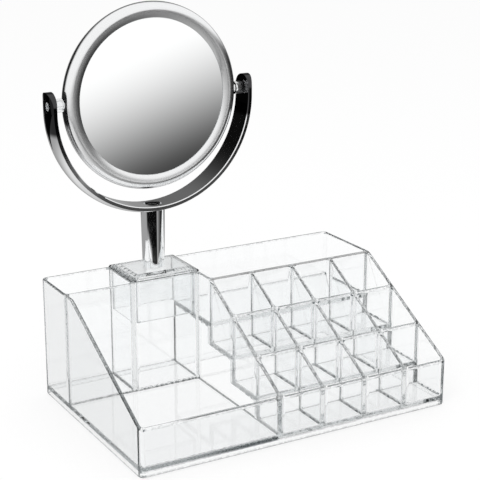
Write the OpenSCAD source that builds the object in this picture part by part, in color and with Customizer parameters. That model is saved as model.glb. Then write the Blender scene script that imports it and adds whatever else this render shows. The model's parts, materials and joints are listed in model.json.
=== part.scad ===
// Clear make-up organizer with a lift-out, two-sided tilting mirror.
// Millimetres, +Z up, front towards -Y, origin at the bottom centre of the organizer.

/* [Organizer] */
// Width of the organizer, left to right
tray_w = 210; // [200:1:230]
// Depth of the organizer, front to back
tray_d = 140; // [136:1:160]
// Height of the back and of the level part of the sides
back_h = 77; // [74:1:90]
// Height of the front wall
front_h = 29; // [24:1:34]
// Thickness of the walls
wall = 2.2; // [1.8:0.1:2.6]
// Thickness of the floors
floor_t = 2.2; // [1.8:0.1:2.6]
// Height of the foot rim under the lowest floor
foot_h = 3.4; // [2:0.2:6]
// Radius of the organizer's vertical corners
corner_r = 3.6; // [2.8:0.2:8]
// Radius in the corners of the compartments
cell_r = 2; // [1:0.2:3]
// Radius where the side walls bend from level to sloping
bend_r = 9; // [4:1:14]

/* [Compartments] */
// Left face of the lipstick block, from the organizer's left side
block_x = 90; // [84:1:100]
// Front face of the block's rearmost cross wall, from the front
block_d = 86; // [82:1:88]
// Columns of lipstick cells
cell_cols = 4; // [3, 4, 5]
// Distance between the block's cross walls
row_pitch = 29; // [26:0.5:30]
// Rise from the front row's floor to the middle row's
rise_middle = 13.2; // [10:0.1:15]
// Rise from the middle row's floor to the rear row's
rise_rear = 15.9; // [12:0.1:18]
// Rise from the rear row's floor to the back compartment's
rise_back = 12.5; // [8:0.1:15]
// Where the left side wall bends, from the front
side_bend_y = 93; // [88:1:97]
// Left face of the mirror's well, from the organizer's left side
well_x = 45; // [38:0.5:50]
// Front face of the mirror's well, from the front
well_y = 101.6; // [98:0.2:106]

/* [Mirror base] */
// Gap between the base's skirt and the well, all round
skirt_gap = 0.35; // [0.3:0.05:0.6]
// Depth of the skirt below the organizer's rim
skirt_h = 27.5; // [20:0.5:40]
// Thickness of the skirt
skirt_t = 2; // [1.6:0.1:2.6]
// Thickness of the plate at its edge
plate_edge_t = 1; // [0.8:0.1:2]
// Thickness of the plate in the middle
plate_t = 3; // [2.6:0.1:5]
// Width of the plate's bevel
bevel_w = 5.6; // [4:0.2:8]
// How far the plate's edge stays inside the well's outer faces
plate_inset = 0.3; // [0.2:0.1:1]

/* [Stem] */
// Diameter of the stem at the base plate
stem_foot_d = 13.8; // [12:0.2:16]
// Diameter of the stem at the yoke
stem_top_d = 15.2; // [13:0.2:16.8]
// Diameter of the spigot in the base plate
spigot_d = 10.5; // [8:0.5:11.5]
// Height of the tilt axis above the table
axis_z = 188; // [180:1:200]

/* [Yoke] */
// Radius of the yoke's inner face
yoke_r = 64.2; // [63.6:0.1:66]
// Width of the yoke's band
yoke_w = 17; // [16:0.5:20]
// Thickness of the band at its edges
yoke_edge_t = 2.4; // [2:0.1:3]
// Extra thickness of the band along its middle
yoke_crown = 2; // [1.5:0.1:2.5]
// How far the centre of the yoke's curve lies below the tilt axis
yoke_drop = 3.7; // [2:0.1:8]
// Diameter of the screw's counterbore in the yoke
counterbore_d = 11; // [10.6:0.1:12]
// Depth of the screw's counterbore
counterbore_h = 2.9; // [2.7:0.1:3.2]
// Diameter of the screw
screw_d = 4; // [3:0.5:4.5]
// Length of the screw below its washer
screw_len = 17; // [12:1:24]
// Diameter of the washer
washer_d = 9.6; // [9:0.1:10.2]
// Thickness of the washer
washer_t = 0.8; // [0.6:0.1:1]

/* [Pivots] */
// Diameter of the pivot studs' heads
stud_head_d = 8.8; // [7:0.2:10]
// Thickness of the studs' heads
stud_head_t = 1.2; // [1:0.1:1.4]
// Diameter of the studs in the yoke
stud_d = 5; // [4.4:0.1:5.6]
// Diameter of the studs' noses in the ring
nose_d = 3.8; // [3:0.1:4.2]
// Diameter of the collars
collar_d = 8; // [7:0.1:10]
// Running clearance of a nose in the ring, on the radius
nose_clear = 0.05; // [0.03:0.01:0.1]

/* [Mirror] */
// Gap between the mirror's ring and the yoke at the pivots
ring_gap = 6.4; // [5.6:0.1:9]
// Width and depth of the ring's section
ring_d = 9.4; // [8.8:0.2:10.4]
// How far the ring's lip round the glass lies behind its crest
lip_drop = 0.8; // [0.6:0.1:1.2]
// Thickness of each mirror glass
glass_t = 1.5; // [1.2:0.1:1.8]
// How far each glass lies behind the lip
glass_recess = 0.2; // [0.1:0.05:0.4]
// Width of the ledge under each glass
ledge_w = 4.2; // [3:0.2:6]
// Depth of the hollow of the magnifying glass
hollow_h = 1.2; // [0.8:0.1:1.4]
// Thickness of the pad between the glasses
pad_t = 0.9; // [0.5:0.1:1]

/* [Hidden] */

$fn = 96;
eps = 0.01;
far = 400;             // longer than anything that is cut
seat_gap = 0.3;        // between pieces that stay apart
fit_gap = 0.05;        // between pieces that fit each other
cell_rows = 3;

// Organizer: levels and lines
left_x = -tray_w / 2;
right_x = tray_w / 2;
front_y = -tray_d / 2;
back_y = tray_d / 2;
floor_z = foot_h + floor_t;
// floors of the three rows, front to rear, and of the back compartment
row_floor = [floor_z, floor_z + rise_middle, floor_z + rise_middle + rise_rear,
             floor_z + rise_middle + rise_rear + rise_back];
block_left = left_x + block_x;
block_inner_w = right_x - block_left;
cell_pitch = (block_inner_w - wall) / cell_cols;
cell_w = cell_pitch - wall;
// front faces of the block's cross walls, front to rear; row 0 starts behind the front wall
cross_y = [for (row = [1:cell_rows]) front_y + block_d - (cell_rows - row) * row_pitch];

// The well and the mirror base in it
well_left = left_x + well_x + wall;
well_front = front_y + well_y + wall;
well_back = back_y - wall;
well_w = block_left - well_left;
well_d = well_back - well_front;
axis_x = well_left + well_w / 2;
axis_y = well_front + well_d / 2;
plate_w = well_w + 2 * wall - 2 * plate_inset;
plate_d = well_d + 2 * wall - 2 * plate_inset;
skirt_w = well_w - 2 * skirt_gap;
skirt_d = well_d - 2 * skirt_gap;
plate_z = back_h + plate_t;

// Yoke
arc_z = axis_z - yoke_drop;
yoke_edge_r = yoke_r + yoke_edge_t;
yoke_outer_r = yoke_edge_r + yoke_crown;
crown_r = (pow(yoke_w / 2, 2) + pow(yoke_crown, 2)) / (2 * yoke_crown);
edge_bevel = 0.45;
yoke_bottom_z = arc_z - yoke_r;
counterbore_z = yoke_bottom_z - counterbore_h;
screw_head_h = 1.7;
screw_head_d = 2 * screw_d;
screw_point = 3;

// Pivots, measured from the ring's centre along the tilt axis
ring_r = yoke_r - ring_gap;
stud_head_r0 = yoke_edge_r - 0.2;
stud_head_r1 = stud_head_r0 + stud_head_t;
collar_r0 = ring_r + seat_gap;
nose_cone_r0 = ring_r - ring_d / 2;
seat_r = ring_r - ring_d;
socket_end_r = seat_r + 0.75;
nose_tip_r = socket_end_r + 0.25;
nose_tip_d = 0.8;

// Mirror
section_r = ring_d / 2;
section_x = ring_r - section_r;
face_r = (pow(section_r, 2) + pow(lip_drop, 2)) / (2 * lip_drop);
ledge_t = 2 * (section_r - lip_drop - glass_recess - glass_t);
glass_r = seat_r - 0.25;
ledge_r = glass_r - ledge_w;
pad_r = ledge_r - seat_gap;
hollow_steps = 12;

// ---- shapes ----

// Rectangle with round corners, given by its corner and its size
module round_rect(x, y, w, d, r) {
    translate([x + r, y])
        square([w - 2 * r, d]);
    translate([x, y + r])
        square([w, d - 2 * r]);
    for (cx = [x + r, x + w - r], cy = [y + r, y + d - r])
        translate([cx, cy])
            circle(r);
}

// A compartment cut from z up through the top
module pocket(x, y, w, d, z) {
    translate([0, 0, z])
        linear_extrude(far)
            round_rect(x, y, w, d, cell_r);
}

// Points of the side outline: level from the back to the bend, then straight down to the front.
// The bend is an arc that touches both lines.
function side_outline(bend) =
    let (rise = back_h - front_h,
         slope = atan2(rise, bend),
         reach = bend_r * tan(slope / 2),
         centre = [front_y + bend + reach, back_h - bend_r])
    concat([[front_y, 0], [back_y, 0], [back_y, back_h]],
           [for (k = [0:4]) centre + bend_r * [-sin(slope * k / 4), cos(slope * k / 4)]],
           [[front_y, front_h]]);

// The organizer's outer form over a span of x, with its side outline
module side_block(x0, x1, bend) {
    translate([x0, 0, 0])
        rotate([90, 0, 90])
            linear_extrude(x1 - x0)
                polygon(side_outline(bend));
}

// Cylinder along the tilt axis, from radius r0 to r1 on the right side of the ring's centre
module axis_rod(r0, r1, d0, d1) {
    translate([r0, 0, 0])
        rotate([0, 90, 0])
            cylinder(d1 = d0, d2 = d1, h = r1 - r0);
}

// Places a child at the ring's centre
module at_pivot() {
    translate([axis_x, axis_y, axis_z])
        children();
}

// ---- organizer ----

module cells() {
    for (row = [0:cell_rows - 1], col = [0:cell_cols - 1]) {
        y0 = row == 0 ? front_y + wall : cross_y[row - 1] + wall;
        pocket(block_left + wall + col * cell_pitch, y0, cell_w, cross_y[row] - y0, row_floor[row]);
    }
}

module open_compartments() {
    // large tray at the front left
    pocket(left_x + wall, front_y + wall, block_x - wall, well_y - wall, floor_z);
    // left back compartment
    pocket(left_x + wall, well_front, well_x - wall, well_d, floor_z);
    // the mirror's well
    pocket(well_left, well_front, well_w, well_d, floor_z);
    // long back compartment behind the lipstick cells
    back_front = cross_y[cell_rows - 1] + wall;
    pocket(block_left + wall, back_front, block_inner_w - 2 * wall, well_back - back_front,
           row_floor[cell_rows]);
}

// The moulding is open underneath: a shallow recess inside the foot rim,
// and steps that follow the raised floors
module underside() {
    translate([0, 0, -eps])
        linear_extrude(foot_h + eps)
            round_rect(left_x + wall, front_y + wall, tray_w - 2 * wall, tray_d - 2 * wall, cell_r);
    for (row = [1:cell_rows]) {
        y0 = cross_y[row - 1] + wall;
        translate([0, 0, -eps])
            linear_extrude(row_floor[row] - floor_t + eps)
                round_rect(block_left + wall, y0, block_inner_w - 2 * wall, well_back - y0, cell_r);
    }
}

module organizer_tray() {
    color([0.9, 0.95, 0.96, 0.35])
        difference() {
            intersection() {
                linear_extrude(back_h)
                    round_rect(left_x, front_y, tray_w, tray_d, corner_r);
                union() {
                    side_block(left_x, block_left, side_bend_y);
                    side_block(block_left, right_x, block_d);
                }
            }
            open_compartments();
            cells();
            underside();
        }
}

// ---- mirror base and stem ----

// Prism along y or x whose top slopes down over the bevel's width on both sides
module bevel_prism(w, length) {
    translate([0, -length / 2, back_h])
        rotate([90, 0, 180])
            linear_extrude(length)
                polygon([[-w / 2, 0], [w / 2, 0], [w / 2, plate_edge_t], [w / 2 - bevel_w, plate_t],
                         [bevel_w - w / 2, plate_t], [-w / 2, plate_edge_t]]);
}

module mirror_base() {
    color([0.9, 0.95, 0.96, 0.35])
        translate([axis_x, axis_y, 0])
            difference() {
                union() {
                    intersection() {
                        bevel_prism(plate_w, plate_d);
                        rotate(90)
                            bevel_prism(plate_d, plate_w);
                        translate([0, 0, back_h])
                            linear_extrude(plate_t)
                                round_rect(-plate_w / 2, -plate_d / 2, plate_w, plate_d, cell_r);
                    }
                    translate([0, 0, back_h - skirt_h])
                        linear_extrude(skirt_h + eps)
                            round_rect(-skirt_w / 2, -skirt_d / 2, skirt_w, skirt_d, cell_r);
                }
                translate([0, 0, back_h - skirt_h - eps])
                    linear_extrude(skirt_h + eps)
                        round_rect(skirt_t - skirt_w / 2, skirt_t - skirt_d / 2,
                                   skirt_w - 2 * skirt_t, skirt_d - 2 * skirt_t, cell_r);
                cylinder(d = spigot_d + 2 * fit_gap, h = far);
            }
}

// Solid that fills the yoke's outer curve, with a gap added all round
module yoke_envelope(gap) {
    translate([0, 0, arc_z])
        rotate([90, 0, 0])
            rotate_extrude()
                intersection() {
                    translate([yoke_outer_r - crown_r, 0])
                        circle(crown_r + gap);
                    translate([0, -yoke_w])
                        square([yoke_outer_r + gap, 2 * yoke_w]);
                }
}

module stem() {
    color([0.86, 0.87, 0.88])
        translate([axis_x, axis_y, 0])
            difference() {
                union() {
                    translate([0, 0, back_h])
                        cylinder(d = spigot_d, h = plate_t + eps);
                    translate([0, 0, plate_z])
                        cylinder(d1 = stem_foot_d, d2 = stem_top_d, h = arc_z - yoke_edge_r - plate_z);
                }
                yoke_envelope(fit_gap);
                translate([0, 0, counterbore_z - screw_len])
                    cylinder(d = screw_d + 2 * fit_gap, h = far);
            }
}

// ---- yoke ----

// Half-round band section: flat inside with eased edges, crowned outside
module yoke_section() {
    intersection() {
        translate([yoke_outer_r - crown_r, 0])
            circle(crown_r);
        polygon([[yoke_r + edge_bevel, -yoke_w / 2], [yoke_outer_r, -yoke_w / 2],
                 [yoke_outer_r, yoke_w / 2], [yoke_r + edge_bevel, yoke_w / 2],
                 [yoke_r, yoke_w / 2 - edge_bevel], [yoke_r, edge_bevel - yoke_w / 2]]);
    }
}

// Straight end of the band, rounded about the tilt axis
module yoke_arm() {
    intersection() {
        translate([0, 0, -yoke_drop])
            linear_extrude(yoke_drop + yoke_w)
                yoke_section();
        union() {
            axis_rod(yoke_r - 1, yoke_outer_r + 1, yoke_w, yoke_w);
            translate([yoke_r - 1, -yoke_w, -2 * yoke_drop])
                cube([yoke_outer_r - yoke_r + 2, 2 * yoke_w, 2 * yoke_drop]);
        }
    }
}

module yoke() {
    color([0.86, 0.87, 0.88])
        difference() {
            union() {
                translate([axis_x, axis_y, arc_z])
                    rotate([-90, 0, 0])
                        rotate_extrude(angle = 180)
                            yoke_section();
                at_pivot() {
                    yoke_arm();
                    mirror([1, 0, 0])
                        yoke_arm();
                }
            }
            // stud holes and the seats of their heads
            at_pivot()
                for (side = [0, 1])
                    mirror([side, 0, 0]) {
                        axis_rod(yoke_r - 1, yoke_outer_r + 1, stud_d + 2 * fit_gap,
                                 stud_d + 2 * fit_gap);
                        axis_rod(stud_head_r0, yoke_outer_r + 1, stud_head_d + 2 * seat_gap,
                                 stud_head_d + 2 * seat_gap);
                    }
            // screw hole and counterbore in the bottom
            translate([axis_x, axis_y, counterbore_z]) {
                cylinder(d = counterbore_d, h = 2 * counterbore_h);
                translate([0, 0, -screw_len])
                    cylinder(d = screw_d + 2 * seat_gap, h = 2 * screw_len);
            }
        }
}

module yoke_washer() {
    color([0.7, 0.71, 0.72])
        translate([axis_x, axis_y, counterbore_z])
            difference() {
                cylinder(d = washer_d, h = washer_t);
                translate([0, 0, -eps])
                    cylinder(d = screw_d + 2 * seat_gap, h = washer_t + 2 * eps);
            }
}

// Pan-head screw with a cross recess and a pointed end
module yoke_screw() {
    shank_top = counterbore_z + washer_t;
    color([0.7, 0.71, 0.72])
        translate([axis_x, axis_y, shank_top])
            difference() {
                union() {
                    rotate_extrude()
                        intersection() {
                            translate([0, screw_head_h - 2 * screw_head_d])
                                circle(2 * screw_head_d);
                            square([screw_head_d / 2, screw_head_h]);
                        }
                    translate([0, 0, screw_point - screw_len])
                        cylinder(d = screw_d, h = screw_len - screw_point + eps);
                    translate([0, 0, 0.4 - screw_len])
                        cylinder(d1 = 0.8, d2 = screw_d, h = screw_point - 0.4 + eps);
                }
                for (turn = [0, 90])
                    rotate(turn)
                        translate([-screw_head_d / 4, -0.4, 0.5])
                            cube([screw_head_d / 2, 0.8, screw_head_h]);
            }
}

// ---- pivots ----

// Stud: head in the yoke's outer face, shank through arm and collar, pointed nose in the ring
module pivot_stud() {
    color([0.88, 0.93, 0.95, 0.5]) {
        axis_rod(stud_head_r0, stud_head_r1, stud_head_d, stud_head_d);
        axis_rod(collar_r0, stud_head_r0 + eps, stud_d, stud_d);
        axis_rod(nose_cone_r0, collar_r0 + eps, nose_d, nose_d);
        axis_rod(nose_tip_r, nose_cone_r0 + eps, nose_tip_d, nose_d);
    }
}

module pivot_stud_right() {
    at_pivot()
        pivot_stud();
}

module pivot_stud_left() {
    at_pivot()
        mirror([1, 0, 0])
            pivot_stud();
}

// Collar that keeps the ring clear of the yoke
module pivot_collar() {
    color([0.88, 0.93, 0.95, 0.5])
        difference() {
            axis_rod(collar_r0, yoke_r, collar_d, collar_d);
            axis_rod(collar_r0 - 1, yoke_r + 1, stud_d + 2 * fit_gap, stud_d + 2 * fit_gap);
        }
}

module pivot_collar_right() {
    at_pivot()
        pivot_collar();
}

module pivot_collar_left() {
    at_pivot()
        mirror([1, 0, 0])
            pivot_collar();
}

// ---- mirror ----

// The ring's section: round outside, with a flatter face from the crest to the lip at the glass, and
// the ledge that carries the glasses
module ring_section() {
    translate([section_x, 0])
        circle(section_r);
    for (side = [0, 1])
        mirror([0, side])
            intersection() {
                translate([section_x, section_r - face_r])
                    circle(face_r);
                translate([seat_r, 0])
                    square([section_x - seat_r, section_r]);
            }
    translate([ledge_r, -ledge_t / 2])
        square([section_x - ledge_r, ledge_t]);
}

module mirror_ring() {
    color([0.88, 0.93, 0.95, 0.5])
        at_pivot()
            difference() {
                rotate([90, 0, 0])
                    rotate_extrude($fn = 180)
                        ring_section();
                // sockets for the studs' noses, with a pointed end
                for (side = [0, 1])
                    mirror([side, 0, 0]) {
                        axis_rod(nose_cone_r0, ring_r + 1, nose_d + 2 * nose_clear,
                                 nose_d + 2 * nose_clear);
                        axis_rod(socket_end_r, nose_cone_r0 + eps, nose_tip_d,
                                 nose_d + 2 * nose_clear);
                    }
            }
}

// Flat glass, silvered on the back, facing the front
module mirror_glass_plain() {
    color([0.8, 0.82, 0.84])
        at_pivot()
            translate([0, -ledge_t / 2, 0])
                rotate([90, 0, 0])
                    cylinder(r = glass_r, h = glass_t, $fn = 180);
}

// Depth of the magnifying glass at radius r: a shallow bowl with a flat, level rim
function bowl(r) = -hollow_h * (1 - pow(min(r / ledge_r, 1), 2));

// Dished glass of even thickness, facing the back
module mirror_glass_magnifying() {
    radii = concat([for (k = [0:hollow_steps]) ledge_r * k / hollow_steps], [glass_r]);
    inside = [for (r = radii) [r, bowl(r)]];
    outside = [for (k = [len(radii) - 1:-1:0]) [radii[k], bowl(radii[k]) + glass_t]];
    color([0.8, 0.82, 0.84])
        at_pivot()
            translate([0, ledge_t / 2, 0])
                rotate([-90, 0, 0])
                    rotate_extrude($fn = 180)
                        polygon(concat(inside, outside));
}

// Card pad that fills the hollow behind the plain glass
module mirror_pad() {
    color([0.35, 0.35, 0.36])
        at_pivot()
            translate([0, pad_t - ledge_t / 2, 0])
                rotate([90, 0, 0])
                    cylinder(r = pad_r, h = pad_t);
}

organizer_tray();
mirror_base();
stem();
yoke();
yoke_screw();
yoke_washer();
pivot_stud_left();
pivot_stud_right();
pivot_collar_left();
pivot_collar_right();
mirror_ring();
mirror_glass_plain();
mirror_glass_magnifying();
mirror_pad();
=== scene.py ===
"""Clear make-up organizer with a lift-out, two-sided tilting mirror: its finishes, light and camera.

Everything is in metres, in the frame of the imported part: +Z up, front towards -Y.
"""
import json
import math

import bmesh
import bpy
import numpy as np
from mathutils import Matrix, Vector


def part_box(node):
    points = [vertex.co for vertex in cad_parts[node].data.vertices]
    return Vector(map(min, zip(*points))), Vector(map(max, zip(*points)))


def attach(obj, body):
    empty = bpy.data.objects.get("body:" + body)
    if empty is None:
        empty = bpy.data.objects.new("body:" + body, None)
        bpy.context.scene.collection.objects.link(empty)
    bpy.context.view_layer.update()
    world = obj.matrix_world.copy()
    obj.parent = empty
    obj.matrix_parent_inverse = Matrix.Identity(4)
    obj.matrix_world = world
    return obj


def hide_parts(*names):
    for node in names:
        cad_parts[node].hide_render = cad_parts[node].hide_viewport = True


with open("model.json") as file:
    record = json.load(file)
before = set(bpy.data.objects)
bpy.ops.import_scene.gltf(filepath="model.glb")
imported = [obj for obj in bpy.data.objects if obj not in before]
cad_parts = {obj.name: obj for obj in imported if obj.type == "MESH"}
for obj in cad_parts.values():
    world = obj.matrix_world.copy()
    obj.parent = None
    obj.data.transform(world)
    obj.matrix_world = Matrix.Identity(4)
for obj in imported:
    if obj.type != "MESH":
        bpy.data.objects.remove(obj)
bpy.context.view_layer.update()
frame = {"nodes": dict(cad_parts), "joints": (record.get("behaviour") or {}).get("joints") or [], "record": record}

# ---- places on the pieces, from the frame ----

OPENINGS = {opening["name"]: opening["box_m"] for opening in frame["record"]["physics"]["openings"]}
ABOVE_FLOOR, BESIDE_WALL = 0.0004, 0.0008   # how far a stated opening stays from its floor and its walls
# tops of the floors of the tray, the middle and rear cells and the back compartment; the front cells stand
# on the tray's floor
FLOOR_LEVELS = tuple(OPENINGS[name][0][2] - ABOVE_FLOOR
                     for name in ("front_tray", "cell_middle_1", "cell_rear_1", "back_compartment"))
FLOOR_THICKNESS = 0.0022
UNDERSIDES = tuple(level - FLOOR_THICKNESS for level in FLOOR_LEVELS)
TRAY_LEFT, TRAY_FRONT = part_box("organizer_tray")[0][:2]    # the left end and the front face
TRAY_END = OPENINGS["front_tray"][1][0] + BESIDE_WALL      # where the open tray meets the cells
FRONT_RIM = 0.029                                          # height of the front wall
PIVOT = next(joint["pos_m"] for joint in frame["joints"] if joint["name"] == "mirror_tilt")
GLASS_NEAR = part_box("mirror_glass_magnifying")[0][1]       # middle of the magnifying glass's near face
GLASS_THICKNESS = 0.0015

# ---- camera, as the photograph was taken ----

CAMERA_PLACE = (-0.3956, -0.6952, 0.3465)
CAMERA_PITCH = 16.615          # degrees below the horizon
CAMERA_YAW = -29.479           # degrees about +Z
FOCAL_PIXELS = 1371.5          # focal length in pixels of the photograph
PHOTO_SIDE = 480
PHOTO_CENTRE = (239.6, 234.4)  # pixel that the lens points at
SENSOR = 36.0
NEAREST, FARTHEST = 0.05, 20   # what the camera can see


def add_camera():
    """The lens in millimetres is the focal length in pixels times the sensor over the photograph's side."""
    data = bpy.data.cameras.new("camera")
    data.sensor_width = SENSOR
    data.lens = FOCAL_PIXELS * SENSOR / PHOTO_SIDE
    half = PHOTO_SIDE / 2
    data.shift_x = (half - PHOTO_CENTRE[0]) / PHOTO_SIDE
    data.shift_y = (PHOTO_CENTRE[1] - half) / PHOTO_SIDE
    data.clip_start = NEAREST
    data.clip_end = FARTHEST
    camera = bpy.data.objects.new("camera", data)
    camera.location = CAMERA_PLACE
    camera.rotation_euler = (math.radians(90 - CAMERA_PITCH), 0, math.radians(CAMERA_YAW))
    bpy.context.scene.collection.objects.link(camera)
    bpy.context.scene.camera = camera


# ---- node helpers ----

def new_material(name):
    """An empty node material, and its tree."""
    material = bpy.data.materials.new(name)
    material.use_nodes = True
    material.node_tree.nodes.clear()
    return material, material.node_tree


def node(tree, kind, inputs=None, **settings):
    """Adds a node; inputs maps a socket's name or number to a value or to another node's socket."""
    made = tree.nodes.new(kind)
    for key, value in settings.items():
        setattr(made, key, value)
    for key, value in (inputs or {}).items():
        if isinstance(value, bpy.types.NodeSocket):
            tree.links.new(value, made.inputs[key])
        else:
            made.inputs[key].default_value = value
    return made


def math_node(tree, operation, a, b=0.0, c=0.0):
    """One step of arithmetic; returns its output socket."""
    return node(tree, "ShaderNodeMath", {0: a, 1: b, 2: c}, operation=operation).outputs[0]


def both(tree, a, b):
    """The product of two shares."""
    return math_node(tree, "MULTIPLY", a, b)


def rest_of(tree, share):
    """What a share leaves of 1."""
    return math_node(tree, "SUBTRACT", 1.0, share)


def ramp(tree, value, low, high, to_low=0.0, to_high=1.0):
    """A smooth step: to_low where value is low, to_high where it is high."""
    made = node(tree, "ShaderNodeMapRange", {0: value, 1: low, 2: high, 3: to_low, 4: to_high},
                interpolation_type="SMOOTHSTEP", clamp=True)
    return made.outputs[0]


def slope(tree, value, low, high, to_low, to_high):
    """A straight slope between two levels, and level beyond them."""
    return node(tree, "ShaderNodeMapRange", {0: value, 1: low, 2: high, 3: to_low, 4: to_high},
                clamp=True).outputs[0]


def over(tree, under, level, share):
    """Lays a level over what is there, by share."""
    return node(tree, "ShaderNodeMix", {0: share, 2: under, 3: level}).outputs[0]


def blend(tree, share, first, second):
    """The first colour where share is 0, the second where it is 1."""
    return node(tree, "ShaderNodeMix", {0: share, 6: first, 7: second}, data_type="RGBA").outputs[2]


def object_place(tree):
    """The point's place on its piece."""
    return node(tree, "ShaderNodeTexCoord").outputs["Object"]


def noise(tree, place, scale, detail):
    """A cloudy pattern from 0 to 1; scale is in patches per metre."""
    return node(tree, "ShaderNodeTexNoise", {"Vector": place, "Scale": scale, "Detail": detail}).outputs[0]


def relief(tree, height, strength, distance):
    """The normal of a surface with a fine relief."""
    return node(tree, "ShaderNodeBump",
                {"Strength": strength, "Distance": distance, "Height": height}).outputs[0]


def plain(level):
    """A grey of that level."""
    return (level, level, level, 1)


# ---- light ----

# The studio that metal sees is laid out by three angles in degrees. "front" is 0 straight in front and grows
# to the right, "back" is 0 straight behind and grows to the left, and "height" is 0 at the horizon. A window
# says where a thing starts, how wide that soft edge is, where it ends and how wide that edge is. A level of 1
# is white.
TENT_LEVEL = 0.95
TENT_HEM = (-12, 2)                         # heights of the hem's soft edge
HEM_RISE = (15, 65, 0.0, 15.0)              # front angles, and how much higher the hem lies at each
LOWER_LEVEL = 0.8
LOWER_BACK_LEVELS = (-52, -24, 0.85, 0.36)  # heights, and the lower half's level behind at each
LOWER_BACK = (-50, 20, 115, 20)
DARK_FLAT_WAY = (80, -18)                   # its middle's front angle and height
DARK_FLAT_LEVELS = (18, 108, 0.02, 0.8)     # angles away from its middle, and the level at each
GREY_FLAT_LEVEL = 0.14
GREY_FLAT_BACK, GREY_FLAT_HEIGHT = (-66, 27, 80, 40), (-5, 23, 64, 26)
BLACKEST = 0.004                            # level of the black flat and of the stem's line
BLACK_FLAT_BACK, BLACK_FLAT_HEIGHT = (-12, 40, 89, 28), (-13, 4, 44, 14)
STEM_LINE_FRONT, STEM_LINE_HEIGHT = (-120, 5, 17, 6), (-20.4, 0.5, -16.6, 0.5)
STEM_LINE_LEFT = (-19.6, -18.2, -45, -92)   # heights, and the front angle where the line starts at each
STEM_LINE_EDGE = 14
CARD_FRAME_LEVEL = 0.012
CARD_FRAME_FRONT, CARD_FRONT, CARD_HEIGHT = (19.8, 0.5, 30.4, 0.5), (22.4, 0.3, 29.3, 0.3), (-17, 2, -5, 3)
CARD_MIDDLE, CARD_SLANT = 26, -0.45         # front angle, and the fall of its lower edge for each degree
CARD_LEVELS = (-14.4, -8.4, 0.06, 1.08)     # slanted heights, and the card's level at each
PALE_LEVEL, PALE_SHARE = 0.97, 0.7          # what lies over all reflections that are seen through plastic
BACKDROP_BACK, BACKDROP_TOP = (-110, 30, 110, 30), (18, 40)
CEILING_LEVEL = 0.5                         # seen through plastic, above and beside the backdrop
DIFFUSE_LEVEL = 0.85


def between(tree, angle, window):
    """1 inside a window and 0 outside it; the soft edges lie inside it."""
    low, low_edge, high, high_edge = window
    started = ramp(tree, angle, low, low + low_edge)
    return both(tree, started, ramp(tree, angle, high - high_edge, high, 1.0, 0.0))


def degrees(tree, operation, a, b=0.0):
    """An inverse function's angle in degrees."""
    return math_node(tree, "MULTIPLY", math_node(tree, operation, a, b), 180 / math.pi)


def away_from(tree, direction, front, height):
    """The angle between each direction and the one at a front angle and a height."""
    turn, rise = math.radians(front), math.radians(height)
    middle = (math.cos(rise) * math.sin(turn), -math.cos(rise) * math.cos(turn), math.sin(rise))
    cosine = node(tree, "ShaderNodeVectorMath", {0: direction, 1: middle}, operation="DOT_PRODUCT")
    return degrees(tree, "ARCCOSINE", cosine.outputs["Value"])


def studio_room(tree, direction, front, back, height):
    """The level of the tent, the lower half and the flats in each direction."""
    behind = ramp(tree, height, *LOWER_BACK_LEVELS)
    lower_half = over(tree, LOWER_LEVEL, behind, between(tree, back, LOWER_BACK))
    dark_flat = ramp(tree, away_from(tree, direction, *DARK_FLAT_WAY), *DARK_FLAT_LEVELS)
    room = math_node(tree, "MINIMUM", lower_half, dark_flat)
    above_hem = math_node(tree, "SUBTRACT", height, slope(tree, front, *HEM_RISE))
    room = over(tree, room, TENT_LEVEL, ramp(tree, above_hem, *TENT_HEM))
    grey_flat = both(tree, between(tree, back, GREY_FLAT_BACK), between(tree, height, GREY_FLAT_HEIGHT))
    room = over(tree, room, GREY_FLAT_LEVEL, grey_flat)
    black_flat = both(tree, between(tree, back, BLACK_FLAT_BACK), between(tree, height, BLACK_FLAT_HEIGHT))
    return over(tree, room, BLACKEST, black_flat)


def with_stem_line(tree, room, front, height):
    """Adds the black line that the round stem shows; its left end moves on with the height."""
    from_left = math_node(tree, "SUBTRACT", front, slope(tree, height, *STEM_LINE_LEFT))
    line = both(tree, ramp(tree, from_left, 0, STEM_LINE_EDGE), between(tree, front, STEM_LINE_FRONT))
    return over(tree, room, BLACKEST, both(tree, line, between(tree, height, STEM_LINE_HEIGHT)))


def with_card(tree, room, front, height):
    """Adds the white card that the mirror shows, with a slanted lower edge and a black frame."""
    frame_share = both(tree, between(tree, front, CARD_FRAME_FRONT), between(tree, height, CARD_HEIGHT))
    room = over(tree, room, CARD_FRAME_LEVEL, frame_share)
    from_middle = math_node(tree, "SUBTRACT", front, CARD_MIDDLE)
    slanted = math_node(tree, "MULTIPLY_ADD", from_middle, CARD_SLANT, height)
    card = both(tree, between(tree, front, CARD_FRONT), between(tree, height, CARD_HEIGHT))
    return over(tree, room, ramp(tree, slanted, *CARD_LEVELS), card)


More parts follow.
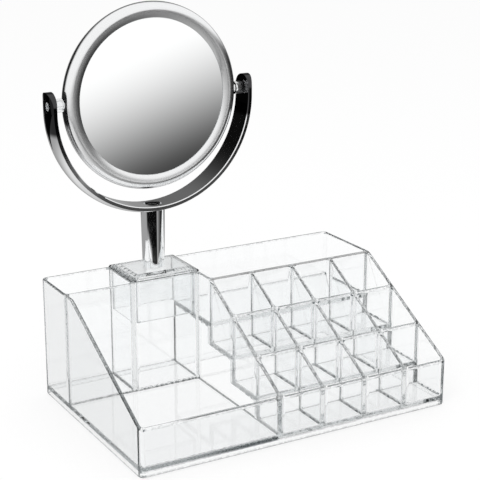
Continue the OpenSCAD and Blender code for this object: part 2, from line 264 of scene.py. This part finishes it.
def light_world():
    """A plain studio. What the eye sees behind the object is white. Metal and glass see a white tent with its
    hem near the horizon, a pale lower half that is grey behind, a dark flat on the right, a grey flat behind
    with a black one before its left part, the stem's line and the card."""
    world = bpy.data.worlds.new("studio")
    bpy.context.scene.world = world
    world.use_nodes = True
    tree = world.node_tree
    tree.nodes.clear()
    direction = node(tree, "ShaderNodeTexCoord").outputs["Generated"]
    x, y, z = node(tree, "ShaderNodeSeparateXYZ", {0: direction}).outputs
    minus_x = math_node(tree, "MULTIPLY", x, -1.0)
    minus_y = math_node(tree, "MULTIPLY", y, -1.0)
    front = degrees(tree, "ARCTAN2", x, minus_y)
    back = degrees(tree, "ARCTAN2", minus_x, y)
    height = degrees(tree, "ARCSINE", z)

    room = studio_room(tree, direction, front, back, height)
    room = with_stem_line(tree, room, front, height)
    room = with_card(tree, room, front, height)

    ray = node(tree, "ShaderNodeLightPath").outputs
    refracted = ray["Is Transmission Ray"]
    through_plastic = math_node(tree, "GREATER_THAN", ray["Transmission Depth"], 0.5)
    room = over(tree, room, PALE_LEVEL, math_node(tree, "MULTIPLY", through_plastic, PALE_SHARE))
    backdrop = both(tree, between(tree, back, BACKDROP_BACK), ramp(tree, height, *BACKDROP_TOP, 1.0, 0.0))
    ceiling = over(tree, 1.0, CEILING_LEVEL, both(tree, rest_of(tree, backdrop), refracted))
    # a refracted ray counts as a glossy one too, so those are taken out
    reflected = both(tree, ray["Is Glossy Ray"], rest_of(tree, refracted))
    seen = over(tree, ceiling, room, reflected)
    level = over(tree, seen, DIFFUSE_LEVEL, ray["Is Diffuse Ray"])
    background = node(tree, "ShaderNodeBackground", {"Color": plain(1), "Strength": level})
    node(tree, "ShaderNodeOutputWorld", {"Surface": background.outputs[0]})


def add_lamp(name, place, target, size, power):
    """A square soft box that looks at a point; mirrors don't show it."""
    data = bpy.data.lights.new(name, "AREA")
    data.shape = "SQUARE"
    data.size = size
    data.energy = power
    lamp = bpy.data.objects.new(name, data)
    lamp.location = place
    aim = np.subtract(target, place)
    tilt = math.atan2(math.hypot(aim[0], aim[1]), -aim[2])
    lamp.rotation_euler = (tilt, 0, math.atan2(aim[1], aim[0]) - math.pi / 2)
    lamp.visible_glossy = False
    lamp.visible_transmission = False
    bpy.context.scene.collection.objects.link(lamp)


# ---- stage ----

FLOOR_SIDE, FLOOR_DROP = 6.0, 0.0004        # half the floor's width, and how far it lies below the foot rim
FLOOR_PAPER = 0.93                          # the paper's own grey
SHEET_FRONT, SHEET_SIDES = (-0.5, -0.25), (0.5, 0.9)   # soft edges of the sheet under the object
FLOOR_GLOW, FLOOR_GLOW_AWAY = 1.02, 0.6     # the second is what plastic shows beyond that sheet
GLOW_TO_CAMERA, GLOW_THROUGH = 0.75, 0.97   # how much of the floor glows: seen direct, and through plastic
BLACK_CARD_X, BLACK_CARD_Y, BLACK_CARD_RISE = (-0.9, -0.16), (0.405, 2.0), 0.0002
BLACK_CARD_TONE = 0.012


def flat_sheet(name, finish, x_range, y_range, level):
    """A level rectangle, with the tree of its own material, whose name is finish."""
    (left, right), (near, far) = x_range, y_range
    corners = [(left, near, level), (right, near, level), (right, far, level), (left, far, level)]
    mesh = bpy.data.meshes.new(name)
    mesh.from_pydata(corners, [], [(0, 1, 2, 3)])
    sheet = bpy.data.objects.new(name, mesh)
    bpy.context.scene.collection.objects.link(sheet)
    material, tree = new_material(finish)
    mesh.materials.append(material)
    return sheet, tree


def add_floor():
    """A wide pale floor that keeps a faint shadow. Through plastic it is darker beyond a sheet of paper that
    lies under the object. Metal sees the studio's own lower half instead."""
    span = (-FLOOR_SIDE, FLOOR_SIDE)
    floor, tree = flat_sheet("floor", "floor_white", span, span, -FLOOR_DROP)
    ray = node(tree, "ShaderNodeLightPath").outputs
    refracted = ray["Is Transmission Ray"]
    x, y = node(tree, "ShaderNodeSeparateXYZ", {0: object_place(tree)}).outputs[:2]
    at_sides = ramp(tree, math_node(tree, "ABSOLUTE", x), *SHEET_SIDES, 1.0, 0.0)
    sheet = both(tree, ramp(tree, y, *SHEET_FRONT), at_sides)
    dark = both(tree, rest_of(tree, sheet), refracted)
    lit = math_node(tree, "MAXIMUM", math_node(tree, "MULTIPLY", ray["Is Camera Ray"], GLOW_TO_CAMERA),
                    math_node(tree, "MULTIPLY", refracted, GLOW_THROUGH))
    paper = node(tree, "ShaderNodeBsdfDiffuse", {"Color": plain(FLOOR_PAPER)})
    glow = node(tree, "ShaderNodeEmission",
                {"Color": plain(1), "Strength": ramp(tree, dark, 0, 1, FLOOR_GLOW, FLOOR_GLOW_AWAY)})
    mixed = node(tree, "ShaderNodeMixShader",
                 {0: math_node(tree, "MAXIMUM", lit, dark), 1: paper.outputs[0], 2: glow.outputs[0]})
    node(tree, "ShaderNodeOutputMaterial", {"Surface": mixed.outputs[0]})
    floor.visible_glossy = False


def add_black_card():
    """A black card that lies behind on the left, as photographers lay one: the yoke's outer face shows it.
    Only metal sees it."""
    card, tree = flat_sheet("black_card", "card_black", BLACK_CARD_X, BLACK_CARD_Y, BLACK_CARD_RISE)
    shader = node(tree, "ShaderNodeBsdfDiffuse", {"Color": plain(BLACK_CARD_TONE)})
    node(tree, "ShaderNodeOutputMaterial", {"Surface": shader.outputs[0]})
    card.visible_camera = False
    card.visible_diffuse = False
    card.visible_transmission = False
    card.visible_shadow = False


# ---- finishes ----

# the second colour is painted shade, laid on the rounded edges and on the floor plate's front edge
CLEAR, CLEAR_PAINTED_EDGE_SHADE = (0.985, 0.99, 0.992, 1), (0.03, 0.04, 0.045, 1)
CLEAR_DEPTH, CLEAR_DENSITY = (0.0, 0.07, 0.09, 1), 5.0
PLASTIC_IOR = 1.49
# the second colour is a painted dark reflection, laid on the yoke's arm ends
CHROME, CHROME_PAINTED_DARK_REFLECTION = (0.93, 0.935, 0.94, 1), (0.06, 0.06, 0.062, 1)
PAINTED_REFLECTION_EDGE = 0.004                     # height over which the painted dark reflection comes in
ZINC = (0.045, 0.046, 0.048, 1)
BOARD, BOARD_FIBRE = (0.09, 0.09, 0.095, 1), (0.14, 0.14, 0.145, 1)
SILVER = (0.95, 0.955, 0.955, 1)

# the painted shade on the floor plate's front edge, a dark band that stands in for the dark surroundings the edge
# gathers: heights of its soft edges, then how dark it is along x
PLATE_BOTTOM = (UNDERSIDES[0] - 0.0003, UNDERSIDES[0] + 0.0003)
PLATE_TOP = (FLOOR_LEVELS[0] - 0.0001, FLOOR_LEVELS[0] + 0.0005)
PLATE_FACE = TRAY_FRONT + 0.0002            # the band lies in front of this
PLATE_PAINTED_SHADE_ALONG_X = (-0.1, -0.035, 0.25, 0.95)
PLATE_FADES, PLATE_UNDER_CELLS = (TRAY_END - 0.0025, TRAY_END - 0.0005), 0.3


def principled(material, tree, settings, volume=None):
    """Ends a material with one surface, and with a volume if there is one."""
    ends = {"Surface": node(tree, "ShaderNodeBsdfPrincipled", settings).outputs[0]}
    if volume is not None:
        ends["Volume"] = volume.outputs[0]
    node(tree, "ShaderNodeOutputMaterial", ends)
    return material


def plate_edge_painted_shade(tree, place):
    """How much painted shade lies on the floor plate's front edge: most of all under the open tray, next to the
    cells.
    """
    x, y, z = node(tree, "ShaderNodeSeparateXYZ", {0: place}).outputs
    at_plate = both(tree, ramp(tree, z, *PLATE_BOTTOM), ramp(tree, z, *PLATE_TOP, 1.0, 0.0))
    at_front = math_node(tree, "LESS_THAN", y, PLATE_FACE)
    along_x = ramp(tree, x, *PLATE_FADES, ramp(tree, x, *PLATE_PAINTED_SHADE_ALONG_X), PLATE_UNDER_CELLS)
    return both(tree, both(tree, at_plate, at_front), along_x)


def clear_plastic():
    """Polished clear moulding: faint waves from the mould, a little haze, and painted shade, mottled, on the
    rounded edges and on the floor plate's front edge, standing in for the dark surroundings that those edges
    gather.
    """
    material, tree = new_material("clear_plastic")
    place = object_place(tree)
    waves = relief(tree, noise(tree, place, scale=45.0, detail=1.0), strength=0.02, distance=0.001)
    haze = ramp(tree, noise(tree, place, scale=220.0, detail=2.0), 0.35, 0.75, 0.0, 0.03)
    # painted shade: on the rounded strips, mottled by noise, and on the floor plate's front edge; it turns the
    # base colour dark
    strip = node(tree, "ShaderNodeAttribute", attribute_name="rounding").outputs["Fac"]
    mottle = ramp(tree, noise(tree, place, scale=480.0, detail=2.0), 0.42, 0.57, 0.08, 1.0)
    painted_shade = math_node(tree, "MAXIMUM", both(tree, strip, mottle), plate_edge_painted_shade(tree, place))
    depth = node(tree, "ShaderNodeVolumeAbsorption", {"Color": CLEAR_DEPTH, "Density": CLEAR_DENSITY})
    return principled(material, tree,
                      {"Base Color": blend(tree, painted_shade, CLEAR, CLEAR_PAINTED_EDGE_SHADE), "Roughness": haze,
                       "IOR": PLASTIC_IOR, "Transmission Weight": 1.0, "Normal": waves}, depth)


def chrome(name="chrome", painted_dark_above=None, haze=0.02):
    """Bright plating with a haze and the faintest ripple. Above a height it may carry a painted dark reflection.
    """
    material, tree = new_material(name)
    place = object_place(tree)
    ripple = relief(tree, noise(tree, place, scale=60.0, detail=1.0), strength=0.03, distance=0.0005)
    rough = ramp(tree, noise(tree, place, scale=90.0, detail=3.0), 0.3, 0.8, haze, haze + 0.04)
    tone = CHROME
    # above the height, a painted dark reflection turns the plating black
    if painted_dark_above is not None:
        z = node(tree, "ShaderNodeSeparateXYZ", {0: place}).outputs[2]
        painted_dark_share = ramp(tree, z, painted_dark_above, painted_dark_above + PAINTED_REFLECTION_EDGE)
        tone = blend(tree, painted_dark_share, CHROME, CHROME_PAINTED_DARK_REFLECTION)
    return principled(material, tree,
                      {"Base Color": tone, "Metallic": 1.0, "Roughness": rough, "Normal": ripple})


def dark_zinc():
    """Darkened zinc plating on steel: a fine grain and a worn sheen."""
    material, tree = new_material("dark_zinc")
    place = object_place(tree)
    grain = relief(tree, noise(tree, place, scale=900.0, detail=2.0), strength=0.15, distance=0.0001)
    wear = ramp(tree, noise(tree, place, scale=260.0, detail=3.0), 0.3, 0.7, 0.22, 0.42)
    return principled(material, tree,
                      {"Base Color": ZINC, "Metallic": 1.0, "Roughness": wear, "Normal": grain})


def card_board():
    """Dark grey card with a fibrous grain: the pad between the two glasses."""
    material, tree = new_material("card_board")
    fibres = noise(tree, object_place(tree), scale=700.0, detail=4.0)
    return principled(material, tree,
                      {"Base Color": blend(tree, fibres, BOARD, BOARD_FIBRE), "Roughness": 0.85,
                       "Normal": relief(tree, fibres, strength=0.3, distance=0.0001)})


def mirror_silver():
    """Silvered glass: a clean mirror with a trace of smudging."""
    material, tree = new_material("mirror_silver")
    smudge = ramp(tree, noise(tree, object_place(tree), scale=25.0, detail=3.0), 0.4, 0.8, 0.0, 0.015)
    return principled(material, tree, {"Base Color": SILVER, "Metallic": 1.0, "Roughness": smudge})


# ---- shapes ----

# rounded strips: how near a floor's level one lies, and how much of its way goes along an axis
NEAR_LEVEL = 0.0012
SOME_WAY, HALF_WAY, MOST_WAY = 0.2, 0.4, 0.8
AT_TRAY_END, UNDER_TRAY_END, RIGHT_OF_TRAY = 0.0017, 0.004, 0.002   # distances from the tray's end
WELL_FRONT, WELL_LEFT = (0.029, 0.036), -0.06     # y round the front of the mirror's well, x left of it
FRONT_WALL = TRAY_FRONT + 0.004                   # in front of this lies the front wall
# how much painted shade the strips get
RIM_DARK, SLANTED_DARK, FULL_DARK = 0.35, 0.6, 1.0
ACROSS_DARK, TRAY_END_DARK, WELL_DARK = 0.15, 0.1, 0.9
FRONT_DARK = (0.5, 1.0)                           # at the tray's left end and at its right one

ROUNDINGS = {"organizer_tray": 0.0010, "mirror_base": 0.0006}
DOUBLES = 1e-6                                    # vertices nearer than this are one
FLAT_ANGLE, SHARP_ANGLE = math.radians(1), math.radians(15)
SAME_LEVEL = 1e-5                                 # heights that differ by less are one
SHORT_CHORD = 0.0006
# where the cells' left wall runs out into the front wall's rim
WALL_END_X = (TRAY_END - 0.0015, TRAY_END + 0.0005)
WALL_END_Y, WALL_END_Z = TRAY_FRONT + 0.0045, FRONT_RIM - 0.0005

CURVE_RADIUS, CURVE_DEPTH = 0.04395, 0.0012       # of the magnifying glass
GLASS_FAR = GLASS_NEAR + GLASS_THICKNESS          # middle of its far face
GLASS_SLACK = 0.0001
GLASS_SHARP = math.radians(30)


def near_level(middles, levels):
    """Whether each middle lies at one of the levels."""
    return np.abs(middles[:, 2:3] - np.array(levels)).min(axis=1) < NEAR_LEVEL


def strip_painted_shades(middles, ways):
    """How much painted shade each rounded strip gets, from 0 to 1, by its place and its way; it stands in for the
    dark surroundings that the strip gathers. Upright strips and those along the cell floors' sides get most, rims
    and slanted tops less, and those across the floors least, apart from the well's and the tray's front."""
    across, along, upright = np.abs(ways).T
    x, y = middles[:, 0], middles[:, 1]
    by_floor = near_level(middles, FLOOR_LEVELS) & (upright < SOME_WAY)
    lengthways = along > MOST_WAY
    crossing = by_floor & (across > MOST_WAY)
    by_tray = crossing & (x < TRAY_END + RIGHT_OF_TRAY)
    from_end = np.abs(x - TRAY_END)
    painted_shades = np.full(len(ways), RIM_DARK)
    painted_shades[(along > HALF_WAY) & (upright > SOME_WAY)] = SLANTED_DARK
    painted_shades[upright > MOST_WAY] = FULL_DARK
    painted_shades[by_floor & lengthways] = FULL_DARK
    painted_shades[by_floor & lengthways & (from_end < AT_TRAY_END)] = TRAY_END_DARK
    painted_shades[near_level(middles, UNDERSIDES[1:]) & lengthways & (from_end < UNDER_TRAY_END)] = FULL_DARK
    painted_shades[crossing] = ACROSS_DARK
    painted_shades[by_tray & (y > WELL_FRONT[0]) & (y < WELL_FRONT[1]) & (x > WELL_LEFT)] = WELL_DARK
    front = by_tray & (y < FRONT_WALL)
    painted_shades[front] = np.interp(x[front], [TRAY_LEFT, TRAY_END], FRONT_DARK)
    return painted_shades


def welded(name):
    """A piece's shape with its doubles merged."""
    shape = bmesh.new()
    shape.from_mesh(frame["nodes"][name].data)
    bmesh.ops.remove_doubles(shape, verts=shape.verts, dist=DOUBLES)
    return shape


def values(items, key, width, kind=float):
    """One property of all the items of a mesh, as a numpy array."""
    flat = np.empty(len(items) * width, dtype=kind)
    items.foreach_get(key, flat)
    return flat.reshape(-1, width) if width > 1 else flat


def longest_ways(mesh):
    """The direction of each face's longest edge: the edges are sorted by face and by length, and the last one
    of each face is taken."""
    places = values(mesh.vertices, "co", 3)
    ends = values(mesh.edges, "vertices", 2, int)
    sides = places[ends[:, 1]] - places[ends[:, 0]]
    lengths = np.linalg.norm(sides, axis=1)
    totals = values(mesh.polygons, "loop_total", 1, int)
    edges = values(mesh.loops, "edge_index", 1, int)
    order = np.lexsort((lengths[edges], np.repeat(np.arange(len(totals)), totals)))
    chosen = edges[order[np.cumsum(totals) - 1]]
    return sides[chosen] / lengths[chosen, None]


def at_wall_end(place):
    """Whether a point lies at the end of the cells' left wall."""
    return WALL_END_X[0] < place.x < WALL_END_X[1] and place.y < WALL_END_Y and place.z > WALL_END_Z


def has_room(edge):
    """False where a rounding has no room: on the short chords of the fillets that end at an underside, and
    where the cells' left wall runs out into the front wall's rim."""
    a, b = edge.verts[0].co, edge.verts[1].co
    at_underside = min(abs(a.z - underside) for underside in UNDERSIDES) < SAME_LEVEL
    if at_underside and abs(a.z - b.z) < SAME_LEVEL and (a - b).length < SHORT_CHORD:
        return False
    return not (at_wall_end(a) and at_wall_end(b))


def softened(name, width):
    """A copy of a clear moulding with its sharp edges rounded, as a mould leaves them. The face attribute
    "rounding" holds the painted shade of each rounded strip and is 0 on the flat faces."""
    shape = welded(name)
    bmesh.ops.dissolve_limit(shape, angle_limit=FLAT_ANGLE, verts=shape.verts, edges=shape.edges)
    sharp = [edge for edge in shape.edges if edge.calc_face_angle(0.0) > SHARP_ANGLE and has_room(edge)]
    bmesh.ops.bevel(shape, geom=sharp, offset=width, offset_type="OFFSET", segments=3, profile=0.5,
                    affect="EDGES", clamp_overlap=False, material=1)
    mesh = bpy.data.meshes.new(name + "_moulded")
    shape.to_mesh(mesh)
    shape.free()
    rounded = values(mesh.polygons, "material_index", 1, int)
    # each rounded strip's painted shade, kept in a face attribute
    painted_shades = rounded * strip_painted_shades(values(mesh.polygons, "center", 3), longest_ways(mesh))
    mesh.attributes.new("rounding", "FLOAT", "FACE").data.foreach_set("value", painted_shades.astype(np.float32))
    mesh.polygons.foreach_set("material_index", np.zeros(len(rounded), dtype=np.int32))
    mesh.polygons.foreach_set("use_smooth", np.ones(len(rounded), dtype=bool))
    piece = bpy.data.objects.new(name + "_moulded", mesh)
    bpy.context.scene.collection.objects.link(piece)
    weighting = piece.modifiers.new("flat_faces_stay_flat", "WEIGHTED_NORMAL")
    weighting.mode = "FACE_AREA"
    weighting.weight = 100
    return piece


def curved_glass(name):
    """The magnifying glass with its curve drawn smooth: at radius r both faces lie the curve's depth times
    (r over the curve's radius) squared behind their middles. The rim outside the curve stays as it is."""
    shape = welded(name)
    mesh = bpy.data.meshes.new(name + "_curved")
    shape.to_mesh(mesh)
    shape.free()
    places = values(mesh.vertices, "co", 3)
    squares = (places[:, 0] - PIVOT[0]) ** 2 + (places[:, 2] - PIVOT[2]) ** 2
    sags = CURVE_DEPTH * squares / CURVE_RADIUS ** 2
    faces = np.where(places[:, 1] - sags > (GLASS_NEAR + GLASS_FAR) / 2, GLASS_FAR, GLASS_NEAR)
    inside = squares < (CURVE_RADIUS - GLASS_SLACK) ** 2
    curve = inside & (np.abs(places[:, 1] - sags - faces) < GLASS_SLACK)
    places[curve, 1] = (faces + sags)[curve]
    mesh.vertices.foreach_set("co", places.ravel())
    if "custom_normal" in mesh.attributes:
        mesh.attributes.remove(mesh.attributes["custom_normal"])
    mesh.polygons.foreach_set("use_smooth", np.ones(len(mesh.polygons), dtype=bool))
    mesh.set_sharp_from_angle(angle=GLASS_SHARP)
    mesh.update()
    piece = bpy.data.objects.new(name + "_curved", mesh)
    bpy.context.scene.collection.objects.link(piece)
    return piece


# ---- the scene ----

YOKE_PAINTED_DARK_ABOVE = 0.169      # above this height the yoke's arm ends carry a painted dark reflection
RING_HAZE = 0.17

bpy.context.scene.view_settings.view_transform = "Standard"
add_camera()
light_world()
add_floor()
add_black_card()
add_lamp("key", place=(-0.9, -0.9, 1.5), target=(0, 0, 0.1), size=1.2, power=14)

FINISHES = {"clear_plastic": clear_plastic(), "chrome": chrome(), "fastener": dark_zinc(),
            "mirror": mirror_silver(), "pad": card_board()}
FINISHES["clear_pivot"] = FINISHES["clear_plastic"]
BODY_OF = {n: b for b, nodes in frame["record"]["behaviour"]["bodies"].items() for n in nodes}
for name, width in ROUNDINGS.items():
    piece = softened(name, width)
    piece.data.materials.append(FINISHES["clear_plastic"])
    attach(piece, BODY_OF[name])
    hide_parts(name)
glass = curved_glass("mirror_glass_magnifying")
glass.data.materials.append(FINISHES["mirror"])
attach(glass, BODY_OF["mirror_glass_magnifying"])
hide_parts("mirror_glass_magnifying")
for part in frame["record"]["subparts"]:
    frame["nodes"][part["node"]].material_slots[0].material = FINISHES[part["material_slot"]]
# the yoke's arm ends carry a painted dark reflection
frame["nodes"]["yoke"].material_slots[0].material = chrome("chrome_painted_dark_ends", YOKE_PAINTED_DARK_ABOVE)
frame["nodes"]["mirror_ring"].material_slots[0].material = chrome("chrome_soft", haze=RING_HAZE)

# clear walls lie behind each other, so light passes many faces
bpy.context.scene.cycles.glossy_bounces = 40
bpy.context.scene.cycles.max_bounces = 48
bpy.context.scene.cycles.transmission_bounces = 32
